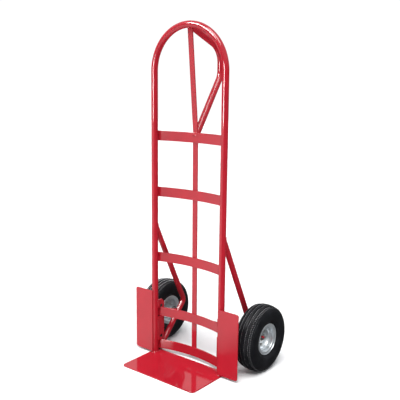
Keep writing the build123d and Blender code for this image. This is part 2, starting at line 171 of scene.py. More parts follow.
class StageSettings(bpy.types.PropertyGroup):
    """The light and the camera."""

    key_power: FloatProperty(
        name="Key light", description="Power of the key light", unit="POWER", default=62.0
    )
    panel_power: FloatProperty(
        name="Reflected panels",
        description="Power of each square metre of the panels that only reflections show",
        unit="POWER",
        default=140.0,
    )
    fill_power: FloatProperty(
        name="Overhead light", description="Strength of the soft overhead light", default=3.6
    )
    azimuth: FloatProperty(
        name="Camera azimuth",
        description="Turn of the camera about +Z",
        subtype="ANGLE",
        default=radians(39.62),
    )
    elevation: FloatProperty(
        name="Camera elevation",
        description="Height angle of the camera",
        subtype="ANGLE",
        default=radians(11.77),
    )
    distance: FloatProperty(
        name="Camera distance",
        description="From the camera to its target",
        unit="LENGTH",
        default=2.4686,
    )


# ---------------------------------------------------------------- mesh helpers
# Faces that meet at more than this after bevelling keep their own normals, so flats stay flat
FLAT_FACE_ANGLE = radians(18)


def round_off(bm, geometry, offset, affect, segments, clamp=True):
    """Bevel edges or corners to a round."""
    bmesh.ops.bevel(
        bm,
        geom=geometry,
        offset=offset,
        offset_type="OFFSET",
        affect=affect,
        segments=segments,
        profile=0.5,
        material=-1,
        clamp_overlap=clamp,
    )


def finish_mesh(bm, name, sharp_angle=radians(40), bevel=0.0):
    """Close up a bmesh, round its sharp edges and return it as a smooth-shaded mesh."""
    bmesh.ops.remove_doubles(bm, verts=bm.verts, dist=MERGE_DISTANCE)
    bmesh.ops.recalc_face_normals(bm, faces=bm.faces)
    if bevel > 0:
        sharp = [e for e in bm.edges if len(e.link_faces) == 2 and e.calc_face_angle() > sharp_angle]
        round_off(bm, sharp, bevel, "EDGES", 2)
    mesh = bpy.data.meshes.new(name)
    bm.to_mesh(mesh)
    bm.free()
    mesh.shade_smooth()
    mesh.set_sharp_from_angle(angle=min(sharp_angle, FLAT_FACE_ANGLE) if bevel > 0 else sharp_angle)
    return mesh


def ring_edges(geometry):
    """The edges of an extrude or spin result."""
    return [item for item in geometry if isinstance(item, bmesh.types.BMEdge)]


def ring_verts(geometry):
    """The vertices of an extrude or spin result."""
    return [item for item in geometry if isinstance(item, bmesh.types.BMVert)]


def start_ring(bm, centre, direction, radius, segments):
    """A circle of edges square to a direction."""
    turn = Vector((0, 0, 1)).rotation_difference(Vector(direction)).to_matrix().to_4x4()
    made = bmesh.ops.create_circle(
        bm, cap_ends=False, radius=radius, segments=segments, matrix=Matrix.Translation(centre) @ turn
    )
    verts = set(made["verts"])
    return [e for e in bm.edges if set(e.verts) <= verts]


def push_ring(bm, ring, move):
    """Extrude a ring of edges straight and return the new ring."""
    made = bmesh.ops.extrude_edge_only(bm, edges=ring)["geom"]
    verts = ring_verts(made)
    bmesh.ops.translate(bm, verts=verts, vec=move)
    kept = set(verts)
    return [e for e in ring_edges(made) if set(e.verts) <= kept]


def swing_ring(bm, ring, centre, axis, angle, steps):
    """Extrude a ring of edges round a bend and return the new ring."""
    verts = list({v for e in ring for v in e.verts})
    made = bmesh.ops.spin(bm, geom=verts + ring, cent=centre, axis=axis, angle=angle, steps=steps)
    return ring_edges(made["geom_last"])


def bent_tube(corners, radius, bends, segments=40, steps=18):
    """A closed round tube through corners, each bend an arc of its own radius."""
    bm = bmesh.new()
    points = [Vector(c) for c in corners]
    legs = [b - a for a, b in zip(points, points[1:])]
    ring = start_ring(bm, points[0], legs[0].normalized(), radius, segments)
    bmesh.ops.contextual_create(bm, geom=ring)
    used = 0.0
    for i, leg in enumerate(legs):
        heading = leg.normalized()
        if i == len(legs) - 1:
            ring = push_ring(bm, ring, heading * (leg.length - used))
            bmesh.ops.contextual_create(bm, geom=ring)
            break
        following = legs[i + 1].normalized()
        turn = heading.angle(following)
        tangent = bends[i] * tan(turn / 2)
        ring = push_ring(bm, ring, heading * (leg.length - used - tangent))
        axis = heading.cross(following).normalized()
        bend_start = points[i + 1] - heading * tangent
        centre = bend_start + axis.cross(heading).normalized() * bends[i]
        ring = swing_ring(bm, ring, centre, axis, turn, steps)
        used = tangent
    return bm


def round_bar(start, length, radius, segments):
    """A closed round bar from a point. length is a vector along the bar."""
    bm = bmesh.new()
    ring = start_ring(bm, start, length.normalized(), radius, segments)
    bmesh.ops.contextual_create(bm, geom=ring)
    ring = push_ring(bm, ring, length)
    bmesh.ops.contextual_create(bm, geom=ring)
    return bm


def plate(corners, thickness, rounded, corner_radius):
    """A flat plate: one face, its corners in rounded rounded off, pushed to its thickness."""
    bm = bmesh.new()
    verts = [bm.verts.new(c) for c in corners]
    bm.faces.new(verts)
    round_off(bm, [verts[i] for i in rounded], corner_radius, "VERTICES", 10)
    made = bmesh.ops.extrude_face_region(bm, geom=list(bm.faces))["geom"]
    bmesh.ops.translate(bm, verts=ring_verts(made), vec=thickness)
    return bm


def spin_line(bm, line, steps, closed=True, centre=(0, AXLE_Y, AXLE_Z), axis=(1, 0, 0)):
    """Join vertices into a line or a loop and spin it once, round the axle unless told otherwise."""
    ends = line[1:] + line[:1] if closed else line[1:]
    edges = [bm.edges.new(pair) for pair in zip(line, ends)]
    bmesh.ops.spin(
        bm,
        geom=line + edges,
        cent=centre,
        axis=axis,
        angle=2 * pi,
        steps=steps,
        use_merge=True,
    )
    bmesh.ops.remove_doubles(bm, verts=bm.verts, dist=MERGE_DISTANCE)


def stand_up(bm, base, way):
    """Turn a piece built on +Z to point along way, and move it to its base."""
    turn = Vector((0, 0, 1)).rotation_difference(way).to_matrix().to_4x4()
    bmesh.ops.transform(bm, matrix=Matrix.Translation(base) @ turn, verts=bm.verts)


def rod(points, radii, name, closed=False, resolution=5):
    """A round bar through points, each with its own radius, for weld beads and bent wire."""
    curve = bpy.data.curves.new(name, "CURVE")
    curve.dimensions = "3D"
    curve.bevel_depth = 1.0
    curve.bevel_resolution = resolution
    curve.use_fill_caps = True
    line = curve.splines.new("POLY")
    line.points.add(len(points) - 1)
    for spot, point, radius in zip(line.points, points, radii):
        spot.co = (*point, 1.0)
        spot.radius = radius
    line.use_cyclic_u = closed
    holder = bpy.data.objects.new(name, curve)
    bpy.context.scene.collection.objects.link(holder)
    bpy.context.view_layer.update()
    depsgraph = bpy.context.evaluated_depsgraph_get()
    mesh = bpy.data.meshes.new_from_object(holder.evaluated_get(depsgraph))
    bpy.data.objects.remove(holder)
    bpy.data.curves.remove(curve)
    return mesh


def joined(meshes):
    """One bmesh holding several meshes."""
    bm = bmesh.new()
    for mesh in meshes:
        bm.from_mesh(mesh)
        bpy.data.meshes.remove(mesh)
    return bm


# ---------------------------------------------------------------- finishes
class Finish:
    """A small hand for laying out a node material."""

    def __init__(self, name):
        self.material = bpy.data.materials.new(name)
        self.material.use_nodes = True
        self.nodes = self.material.node_tree.nodes
        self.links = self.material.node_tree.links
        self.shader = self.nodes["Principled BSDF"]
        self.where = self.nodes.new("ShaderNodeTexCoord").outputs["Object"]

    def node(self, kind, **sockets):
        """A new node with its sockets set. An underscore in a socket's name stands for a space."""
        made = self.nodes.new(kind)
        for name, value in sockets.items():
            made.inputs[name.replace("_", " ")].default_value = value
        return made

    def noise(self, scale, detail=4.0, roughness=0.55):
        made = self.node("ShaderNodeTexNoise", Scale=scale, Detail=detail, Roughness=roughness)
        self.links.new(self.where, made.inputs["Vector"])
        return made.outputs["Fac"]

    def cells(self, scale):
        made = self.node("ShaderNodeTexVoronoi", Scale=scale)
        self.links.new(self.where, made.inputs["Vector"])
        return made.outputs["Color"]

    def spread(self, value, low, high, from_low=0.0, from_high=1.0):
        made = self.node(
            "ShaderNodeMapRange", From_Min=from_low, From_Max=from_high, To_Min=low, To_Max=high
        )
        self.links.new(value, made.inputs["Value"])
        return made.outputs["Result"]

    def blend(self, factor, first, second):
        made = self.node("ShaderNodeMix")
        made.data_type = "RGBA"
        self.links.new(factor, made.inputs["Factor"])
        for socket, colour in ((made.inputs[6], first), (made.inputs[7], second)):
            if isinstance(colour, bpy.types.NodeSocket):
                self.links.new(colour, socket)
            else:
                socket.default_value = (*colour, 1.0)
        return made.outputs[2]

    def total(self, first, second, share):
        """The first value plus a share of the second."""
        made = self.node("ShaderNodeMath")
        made.operation = "MULTIPLY_ADD"
        self.links.new(second, made.inputs[0])
        made.inputs[1].default_value = share
        self.links.new(first, made.inputs[2])
        return made.outputs["Value"]

    def bump(self, height, distance, strength):
        made = self.node("ShaderNodeBump", Strength=strength, Distance=distance)
        self.links.new(height, made.inputs["Height"])
        self.links.new(made.outputs["Normal"], self.shader.inputs["Normal"])

    def feed(self, socket, value):
        self.links.new(value, self.shader.inputs[socket])

    def fix(self, **values):
        for name, value in values.items():
            self.shader.inputs[name.replace("_", " ")].default_value = value


def darker(colour, share):
    """A colour scaled down."""
    return tuple(c * share for c in colour)


def red_enamel(settings):
    """Glossy sprayed enamel: slight orange peel, a little unevenness of film and gloss."""
    made = Finish("red_enamel")
    base = tuple(settings.colour)
    film = made.noise(9.0, 3.0)
    fine = made.noise(160.0, 2.0)
    thin = made.spread(film, 0.0, 1.0, 0.35, 0.65)
    made.feed("Base Color", made.blend(thin, darker(base, 0.90), base))
    smoothest, roughest = settings.roughness - 0.05, settings.roughness + 0.06
    made.feed("Roughness", made.spread(fine, smoothest, roughest, 0.3, 0.7))
    made.bump(made.noise(40.0, 1.0), 0.00006, 0.015)
    made.fix(IOR=1.45, Specular_IOR_Level=0.0, Coat_Weight=0.9, Coat_Roughness=0.07, Coat_IOR=1.5)
    return made.material


def zinc_plate(settings):
    """Pressed steel with bright zinc plating: faint spangle, drawing marks and a soft sheen."""
    made = Finish("bright_zinc")
    base = tuple(settings.plating)
    spangle = made.cells(150.0)
    haze = made.noise(38.0, 5.0)
    scratches = made.noise(900.0, 2.0)
    tint = made.blend(made.spread(haze, 0.0, 1.0, 0.3, 0.7), darker(base, 0.82), base)
    made.feed("Base Color", tint)
    made.feed("Roughness", made.spread(made.total(haze, spangle, 0.2), 0.25, 0.41, 0.3, 1.0))
    made.bump(made.total(scratches, spangle, 0.3), 0.00004, 0.15)
    made.fix(Metallic=0.78)
    return made.material


def tyre_rubber(settings):
    """Moulded tyre rubber: dusty black with fine grain and a waxy sheen, with painted highlights:
    light glint dashes on the rib edges.
    """
    made = Finish("tyre_rubber")
    base = tuple(settings.rubber)
    dust = made.noise(26.0, 6.0, 0.6)
    grain = made.noise(1400.0, 2.0)
    grey = tuple(c * 1.6 + 0.002 for c in base)
    skin = made.blend(made.spread(dust, 0.0, 1.0, 0.42, 0.72), base, grey)
    # The marked rib-edge tips are coloured near white: painted highlights, glints drawn into the
    # rubber's colour.
    edges = made.node("ShaderNodeAttribute")
    edges.attribute_name = "glint_marks"
    glint_dashes = made.spread(edges.outputs["Fac"], 0.0, 1.0, 0.32, 0.60)
    glint_white = (0.78, 0.78, 0.80)
    made.feed("Base Color", made.blend(glint_dashes, skin, glint_white))
    made.feed("Roughness", made.spread(made.total(dust, grain, 0.3), 0.34, 0.54, 0.3, 1.0))
    made.bump(made.total(grain, dust, 0.6), 0.00012, 0.35)
    made.fix(IOR=1.42, Specular_IOR_Level=0.16)
    return made.material


def plain_rubber(name, shade, roughness):
    """Smooth black rubber or plastic with a fine skin."""
    made = Finish(name)
    speck = made.noise(700.0, 3.0)
    made.feed("Base Color", made.blend(speck, (shade,) * 3, (shade * 1.8,) * 3))
    made.feed("Roughness", made.spread(speck, roughness - 0.06, roughness + 0.08, 0.3, 0.7))
    made.bump(speck, 0.00008, 0.4)
    return made.material


def machined_steel(name, colour, roughness):
    """Ground or turned steel with fine tool marks."""
    made = Finish(name)
    marks = made.noise(1200.0, 3.0)
    stain = made.noise(70.0, 4.0)
    stained = made.spread(stain, 0.0, 1.0, 0.35, 0.7)
    made.feed("Base Color", made.blend(stained, colour, darker(colour, 0.75)))
    made.feed("Roughness", made.spread(marks, roughness - 0.06, roughness + 0.1, 0.3, 0.7))
    made.bump(marks, 0.00004, 0.4)
    made.fix(Metallic=1.0)
    return made.material


finishes = {}


def finish_for(name):
    """Each finish is made once and shared."""
    scene = bpy.context.scene
    makers = {
        "red_paint": lambda: red_enamel(scene.truck_paint),
        "galvanised": lambda: zinc_plate(scene.truck_wheels),
        "zinc_fastener": lambda: machined_steel("zinc_fastener", (0.62, 0.62, 0.60), 0.30),
        "bearing_steel": lambda: machined_steel("bearing_steel", (0.50, 0.51, 0.52), 0.22),
        "tyre_rubber": lambda: tyre_rubber(scene.truck_wheels),
        "tube_rubber": lambda: plain_rubber("tube_rubber", 0.016, 0.5),
        "seal_rubber": lambda: plain_rubber("seal_rubber", 0.012, 0.45),
        # Near-black finish for the bolt holes' walls: painted shade in the bores.
        "shaded_bore": lambda: plain_rubber("shaded_bore", 0.008, 0.7),
        "cap_plastic": lambda: plain_rubber("cap_plastic", 0.02, 0.4),
    }
    if name not in finishes:
        finishes[name] = makers[name]()
    return finishes[name]


def place(mesh, body, slot, *nodes):
    """Make a mesh a piece of the truck: its finish, its body and the CAD nodes that it stands for."""
    piece = bpy.data.objects.new(mesh.name, mesh)
    bpy.context.scene.collection.objects.link(piece)
    mesh.materials.clear()
    mesh.materials.append(finish_for(slot))
    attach(piece, body)
    if nodes:
        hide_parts(*nodes)
    return piece


def make_piece(bm, node, ending, body, slot, **edges):
    """Finish a bmesh and put it in the place of a CAD node, named after it."""
    return place(finish_mesh(bm, f"{node}_{ending}", **edges), body, slot, node)


def make_painted(bm, node, bevel=0.0):
    """The same for a part of the painted frame."""
    return make_piece(bm, node, "painted", "frame", "red_paint", bevel=bevel)


def make_wheel_piece(bm, name, kind, ending, slot, **edges):
    """The same for a part that turns with one wheel."""
    return make_piece(bm, f"{name}_{kind}", ending, f"{name}_wheel", slot, **edges)


# ---------------------------------------------------------------- the frame's own shapes
def bow_arc(node):
    """The radius of a crossbar's front face and the Y of its centre."""
    bow = span(node, 1)[1] - TUBE_R - BAR_T
    radius = (LEG_X ** 2 + bow ** 2) / (2 * bow)
    return radius, TUBE_R + bow - radius


def bow_front_y(node, x):
    """The front face of a crossbar at a distance from the middle."""
    radius, centre_y = bow_arc(node)
    return centre_y + sqrt(radius ** 2 - x ** 2)


def strap_front_y(z):
    """The strap's front face at a height below its bend: against the top edge of every crossbar."""
    top_z, bottom_z = span("crossbar_1", 2)[1], span("crossbar_5", 2)[1]
    share = (z - bottom_z) / (top_z - bottom_z)
    return STRAP_FRONT_BOTTOM + share * (STRAP_FRONT_TOP - STRAP_FRONT_BOTTOM)


class TRUCK_OT_loop_tube(bpy.types.Operator):
    """Build the loop: both legs and the half-round top in one tube"""

    bl_idname = "truck.loop_tube"
    bl_label = "Loop tube"

    def execute(self, context):
        bm = bmesh.new()
        foot = Vector((-LEG_X, 0, FLOOR_PLATE_TOP))
        ring = start_ring(bm, foot, (0, 0, 1), TUBE_R, 48)
        bmesh.ops.contextual_create(bm, geom=ring)
        rise = Vector((0, 0, LOOP_CENTRE_Z - FLOOR_PLATE_TOP))
        ring = push_ring(bm, ring, rise)
        ring = swing_ring(bm, ring, (0, 0, LOOP_CENTRE_Z), (0, 1, 0), pi, 72)
        ring = push_ring(bm, ring, -rise)
        bmesh.ops.contextual_create(bm, geom=ring)
        make_painted(bm, "loop_tube")
        return {"FINISHED"}


class TRUCK_OT_crossbars(bpy.types.Operator):
    """Build the five flat bars, bowed to the rear"""

    bl_idname = "truck.crossbars"
    bl_label = "Crossbars"

    def execute(self, context):
        edge = context.scene.truck_paint.edge_radius
        for node in CROSSBARS:
            low, high = span(node, 2)
            centre_y = bow_arc(node)[1]
            half_angle = atan2(LEG_X, TUBE_R - centre_y)
            out = Vector((sin(half_angle), cos(half_angle), 0)) * BAR_T
            corner = Vector((LEG_X, TUBE_R, low))
            rise = Vector((0, 0, high - low))
            bm = bmesh.new()
            section = (corner, corner + out, corner + out + rise, corner + rise)
            face = bm.faces.new([bm.verts.new(p) for p in section])
            bmesh.ops.spin(
                bm,
                geom=[face, *face.edges, *face.verts],
                cent=(0, centre_y, 0),
                axis=(0, 0, 1),
                angle=2 * half_angle,
                steps=40,
            )
            make_painted(bm, node, bevel=edge)
        return {"FINISHED"}


class TRUCK_OT_centre_strap(bpy.types.Operator):
    """Build the flat upright that leans forward to the loop's top"""

    bl_idname = "truck.centre_strap"
    bl_label = "Centre strap"

    def execute(self, context):
        bottom = span("centre_strap", 2)[0]
        half = Vector((STRAP_HALF_WIDTH, 0, 0))
        points = [
            Vector((0, strap_front_y(bottom) + BAR_T / 2, bottom)),
            Vector((0, strap_front_y(STRAP_BEND_Z) + BAR_T / 2, STRAP_BEND_Z)),
            Vector((0, STRAP_TOP_Y, FRAME_TOP - TUBE_R)),
        ]
        rise, lean = points[1] - points[0], points[2] - points[1]
        turn = rise.angle(lean)
        tangent = STRAP_BEND_R * tan(turn / 2)
        front = Vector((1, 0, 0)).cross(rise).normalized()
        depth = front * (-BAR_T / 2)
        bm = bmesh.new()
        section = (-half - depth, half - depth, half + depth, -half + depth)
        first = bm.faces.new([bm.verts.new(points[0] + corner) for corner in section])
        ring = push_ring(bm, list(first.edges), rise.normalized() * (rise.length - tangent))
        centre = points[1] - rise.normalized() * tangent + front * STRAP_BEND_R
        ring = swing_ring(bm, ring, centre, (1, 0, 0), turn, 6)
        ring = push_ring(bm, ring, lean.normalized() * (lean.length - tangent - STRAP_TOP_GAP))
        bmesh.ops.contextual_create(bm, geom=ring)
        make_painted(bm, "centre_strap", bevel=context.scene.truck_paint.edge_radius)
        return {"FINISHED"}


def handle_corners():
    """The P handle's centre line: the loop's top, two corners behind, and the strap."""
    foot_y = strap_front_y(STRAP_BEND_Z) + BAR_T - HANDLE_FOOT_SINK
    foot_z = HANDLE_LOWER_CORNER_Z - HANDLE_SLOPE * (HANDLE_REAR_Y - foot_y)
    return [
        Vector((0, 0, FRAME_TOP - TUBE_R)),
        Vector((0, HANDLE_REAR_Y, HANDLE_UPPER_CORNER_Z)),
        Vector((0, HANDLE_REAR_Y, HANDLE_LOWER_CORNER_Z)),
        Vector((0, foot_y, foot_z)),
    ]


class TRUCK_OT_handle(bpy.types.Operator):
    """Build the P-shaped rear handle"""

    bl_idname = "truck.handle"
    bl_label = "P handle"

    def execute(self, context):
        bm = bent_tube(handle_corners(), TUBE_R, HANDLE_BENDS, segments=44, steps=24)
        foot = handle_corners()[-1]
        bmesh.ops.bisect_plane(
            bm,
            geom=[*bm.verts, *bm.edges, *bm.faces],
            plane_co=(0, foot.y, foot.z),
            plane_no=(0, -1, 0),
            clear_outer=False,
        )
        make_painted(bm, "p_handle")
        return {"FINISHED"}


def brace_corners(side):
    """A brace's centre line: the leg, the corner behind the wheel's hub, and the toe plate."""
    x = side * LEG_X
    rise = (BRACE_CORNER[1] - BRACE_FOOT[1]) / (BRACE_CORNER[0] - BRACE_FOOT[0])
    foot_y = BRACE_FOOT[0] + 0.004
    return [
        Vector((x, *BRACE_TOP)),
        Vector((x, *BRACE_CORNER)),
        Vector((x, foot_y, BRACE_FOOT[1] + (foot_y - BRACE_FOOT[0]) * rise)),
    ]


class TRUCK_OT_braces(bpy.types.Operator):
    """Build the two bent tubes that carry the axle"""

    bl_idname = "truck.braces"
    bl_label = "Axle braces"

    def execute(self, context):
        for name, side in SIDES:
            node = f"{name}_axle_brace"
            bm = bent_tube(brace_corners(side), BRACE_R, (BRACE_BEND,))
            below = bmesh.ops.bisect_plane(
                bm,
                geom=[*bm.verts, *bm.edges, *bm.faces],
                plane_co=(0, 0, FLOOR_PLATE_TOP + 0.0002),
                plane_no=(0, 0, -1),
                clear_outer=True,
            )
            bmesh.ops.holes_fill(bm, edges=ring_edges(below["geom_cut"]))
            make_painted(bm, node)
        return {"FINISHED"}


class TRUCK_OT_plates(bpy.types.Operator):
    """Build the toe plate and the two wheel guards"""

    bl_idname = "truck.plates"
    bl_label = "Toe plate and guards"

    def execute(self, context):
        edge = context.scene.truck_paint.edge_radius
        (x0, y0, z0), (x1, y1, z1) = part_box("toe_plate")
        outline = [(x0, y0, z0), (x1, y0, z0), (x1, y1, z0), (x0, y1, z0)]
        toe = plate(outline, (0, 0, z1 - z0), (0, 1), TOE_CORNER_R)
        make_painted(toe, "toe_plate", bevel=edge)
        for name, side in SIDES:
            node = f"{name}_wheel_guard"
            (x0, y0, z0), (x1, y1, z1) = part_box(node)
            outline = [(x0, y0, z0), (x1, y0, z0), (x1, y0, z1), (x0, y0, z1)]
            outer = (1, 2) if side > 0 else (0, 3)
            guard = plate(outline, (0, y1 - y0, 0), outer, GUARD_CORNER_R)
            make_painted(guard, node, bevel=edge)
        return {"FINISHED"}


def merged_copy(node):
    """A CAD node's mesh with its loose triangles merged."""
    bm = bmesh.new()
    bm.from_mesh(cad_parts[node].data)
    bmesh.ops.remove_doubles(bm, verts=bm.verts, dist=2 * MERGE_DISTANCE)
    bmesh.ops.dissolve_limit(bm, angle_limit=radians(0.5), verts=bm.verts, edges=bm.edges)
    return bm


class TRUCK_OT_brackets(bpy.types.Operator):
    """Finish the two side brackets with their bolt holes"""

    bl_idname = "truck.brackets"
    bl_label = "Side brackets"

    def execute(self, context):
        for name, _ in SIDES:
            node = f"{name}_side_bracket"
            bm = merged_copy(node)
            piece = make_piece(
                bm, node, "painted", "frame", "red_paint", sharp_angle=COPY_SHARP_ANGLE
            )
            mesh = piece.data
            # The walls of the bolt holes get a near-black finish: painted shade in the bores.
            mesh.materials.append(finish_for("shaded_bore"))
            for face in mesh.polygons:
                if abs(face.normal.x) < 0.5 and self.in_hole(face.center):
                    face.material_index = 1
        return {"FINISHED"}

    def in_hole(self, point):
        """Whether a point lies on the wall of a bolt hole."""
        reach = BRACKET_HOLE_R + 0.0002
        return any(hypot(point.y - BRACKET_HOLE_Y, point.z - z) < reach for z in BRACKET_HOLE_Z)


# ---------------------------------------------------------------- welds
def rippled(points, radius, pitch=0.0032):
    """Radii for a bead that swells once for each pool of weld metal."""
    least, swell = 0.86, 0.16
    travelled = 0.0
    radii = []
    for i, point in enumerate(points):
        if i:
            travelled += (Vector(point) - Vector(points[i - 1])).length
        radii.append(radius * (least + swell * abs(cos(pi * travelled / pitch))))
    return radii


def bead(points, radius, closed=False):
    """A weld bead through points."""
    return rod(points, rippled(points, radius), "bead", closed=closed, resolution=3)


def upright_bead(x, y, low, high, radius):
    """A straight weld bead between two heights."""
    return straight_bead((x, y, low), (x, y, high), radius)


def straight_bead(start, end, radius):
    """A straight weld bead that thins at both ends."""
    spacing = 0.0008
    start, end = Vector(start), Vector(end)
    count = max(6, int((end - start).length / spacing))
    points = [start.lerp(end, i / count) for i in range(count + 1)]
    radii = rippled(points, radius)
    for i in range(3):
        radii[i] *= 0.55 + 0.15 * i
        radii[-1 - i] *= 0.55 + 0.15 * i
    return rod(points, radii, "bead", resolution=3)


def ring_round(centre, along, radius, count):
    """Points of a circle square to a line that has no lean in X."""
    side = Vector((1, 0, 0))
    square = side.cross(along).normalized()
    angles = [2 * pi * i / count for i in range(count)]
    return [centre + side * (radius * cos(a)) + square * (radius * sin(a)) for a in angles]


def saddle_bead(centre, along, radius, host_radius, bead_radius):
    """A bead round a tube where it meets an upright host tube at X = centre.x, Y = 0."""
    points = []
    for start in ring_round(centre, along, radius, 140):
        depth = sqrt(max(host_radius ** 2 - (start.x - centre.x) ** 2, 0.0))
        points.append(start + along * ((depth - start.y) / along.y))
    return bead(points, bead_radius, closed=True)


class TRUCK_OT_welds(bpy.types.Operator):
    """Lay the weld beads that hold the frame together"""

    bl_idname = "truck.welds"
    bl_label = "Welds"

    thin = 0.8

    def execute(self, context):
        size = context.scene.truck_paint.weld_radius
        groups = {
            "crossbar_welds": self.crossbar_beads(size),
            "leg_welds": self.leg_beads(size),
            "brace_welds": self.brace_beads(size),
            "handle_welds": self.handle_beads(size),
        }
        for name, meshes in groups.items():
            mesh = finish_mesh(joined(meshes), name, sharp_angle=radians(60))
            place(mesh, "frame", "red_paint")
        return {"FINISHED"}

    def crossbar_beads(self, size):
        """Beads at both edges of each joint of crossbar and leg, and along the strap's edges."""
        inset, outset, end_gap, strap_end_gap = 0.0052, 0.0012, 0.001, 0.004
        beads = []
        for node in CROSSBARS:
            low, high = span(node, 2)
            ends = (low + end_gap, high - end_gap)
            inner_x, outer_x = LEG_X - inset, LEG_X + outset
            crevice_y = (bow_front_y(node, inner_x) + sqrt(TUBE_R ** 2 - inset ** 2)) / 2
            for _, side in SIDES:
                beads.append(upright_bead(side * inner_x, crevice_y, *ends, size))
                beads.append(upright_bead(side * outer_x, TUBE_R + outset, *ends, size))
            ends = (low + strap_end_gap, high - strap_end_gap)
            for x in (-STRAP_HALF_WIDTH, STRAP_HALF_WIDTH):
                beads.append(upright_bead(x, strap_front_y(high), *ends, size * self.thin))
        return beads

    def leg_beads(self, size):
        """Beads round the legs' feet, stitches behind the guards, and beads along the brackets."""
        stitch, stitch_inset, stitch_x, stitch_rise = 0.035, 0.03, 0.0055, 0.0004
        beads = []
        for name, side in SIDES:
            foot = Vector((side * LEG_X, 0, FLOOR_PLATE_TOP))
            points = ring_round(foot, Vector((0, 0, -1)), TUBE_R + size * 0.3, 120)
            beads.append(bead(points, size, closed=True))
            low, high = span(f"{name}_wheel_guard", 2)
            x, y = side * (LEG_X + stitch_x), -TUBE_R + stitch_rise
            for middle in (low + stitch_inset, (low + high) / 2, high - stitch_inset):
                beads.append(upright_bead(x, y, middle - stitch / 2, middle + stitch / 2, size))
            beads += self.bracket_beads(f"{name}_side_bracket", size * self.thin)
        return beads

    def bracket_beads(self, node, size):
        """Beads where a bracket meets its leg, above and below the crossbar in its notch."""
        end_gap, notch_gap = 0.004, 0.003
        low, high = span(node, 2)
        notch_low, notch_high = span("crossbar_4", 2)
        plate_x = sum(span(node, 0)) / 2
        beads = []
        for x in (plate_x - BAR_T / 2, plate_x + BAR_T / 2):
            lateral = abs(abs(x) - LEG_X)
            y = sqrt(TUBE_R ** 2 - lateral ** 2) if lateral < TUBE_R else span(node, 1)[0]
            beads.append(upright_bead(x, y, low + end_gap, notch_low - end_gap, size))
            beads.append(upright_bead(x, y, notch_high + notch_gap, high - end_gap, size))
        return beads

    def brace_beads(self, size):
        """Beads at both ends of each brace and at the axle in its notch."""
        beads = []
        for _, side in SIDES:
            top, corner, foot = brace_corners(side)
            beads.append(saddle_bead(top, (corner - top).normalized(), BRACE_R, TUBE_R, size))
            lower = (foot - corner).normalized()
            ring = [
                start + lower * ((start.z - FLOOR_PLATE_TOP) / -lower.z)
                for start in ring_round(foot, lower, BRACE_R, 90)
            ]
            beads.append(bead([p for p in ring if p.y < span("toe_plate", 1)[1]], size))
            beads += self.axle_saddle_beads(side, corner, lower, size)
        return beads

    def axle_saddle_beads(self, side, corner, lower, size):
        """Beads in the crevices between the axle and the underside of one brace."""
        axle = Vector((side * LEG_X, AXLE_Y, AXLE_Z))
        nearest = corner + lower * (axle - corner).dot(lower)
        offset = (axle - nearest).length
        down = (axle - nearest).normalized()
        reach = BRACE_R * 0.93
        count = 40
        beads = []
        for way in (-1, 1):
            points = []
            for i in range(count + 1):
                x = -reach + 2 * reach * i / count
                height = sqrt(BRACE_R ** 2 - x ** 2)
                if offset - height > AXLE_R:
                    continue
                across = sqrt(max(AXLE_R ** 2 - (offset - height) ** 2, 0.0))
                points.append(nearest + Vector((x, 0, 0)) + down * height + lower * (way * across))
            if len(points) > 3:
                beads.append(bead(points, size))
        return beads

    def handle_beads(self, size):
        """Beads round the handle at the loop and at the strap, and at the strap's top."""
        count = 150
        first, second, third, foot = handle_corners()
        along = (second - first).normalized()
        ring = ring_round(first, along, TUBE_R, count)
        ring = [start + along * self.leave_loop(start, along) for start in ring]
        beads = [bead(ring, size, closed=True)]
        lower = (foot - third).normalized()
        ring = [
            start + lower * ((foot.y + HANDLE_FOOT_SINK - start.y) / lower.y)
            for start in ring_round(foot, lower, TUBE_R, count)
            if abs(start.x) < STRAP_HALF_WIDTH
        ]
        for half in ([p for p in ring if p.z > foot.z], [p for p in ring if p.z <= foot.z]):
            half.sort(key=lambda p: p.x)
            if len(half) > 4:
                beads.append(bead(half, size))
        top = FRAME_TOP - 2 * TUBE_R
        for x in (-STRAP_HALF_WIDTH, STRAP_HALF_WIDTH):
            start = (x, STRAP_TOP_Y + 0.001, top - 0.001)
            end = (x * 0.4, STRAP_TOP_Y - 0.0035, top - 0.0005)
            beads.append(straight_bead(start, end, size))
        return beads

    def leave_loop(self, start, along):
        """How far along a line from inside the loop's tube its surface is."""
        low, high = 0.0, 4 * TUBE_R
        for _ in range(40):
            middle = (low + high) / 2
            point = start + along * middle
            radial = hypot(point.x, point.z - LOOP_CENTRE_Z) - LEG_X
            if hypot(radial, point.y) < TUBE_R:
                low = middle
            else:
                high = middle
        return high


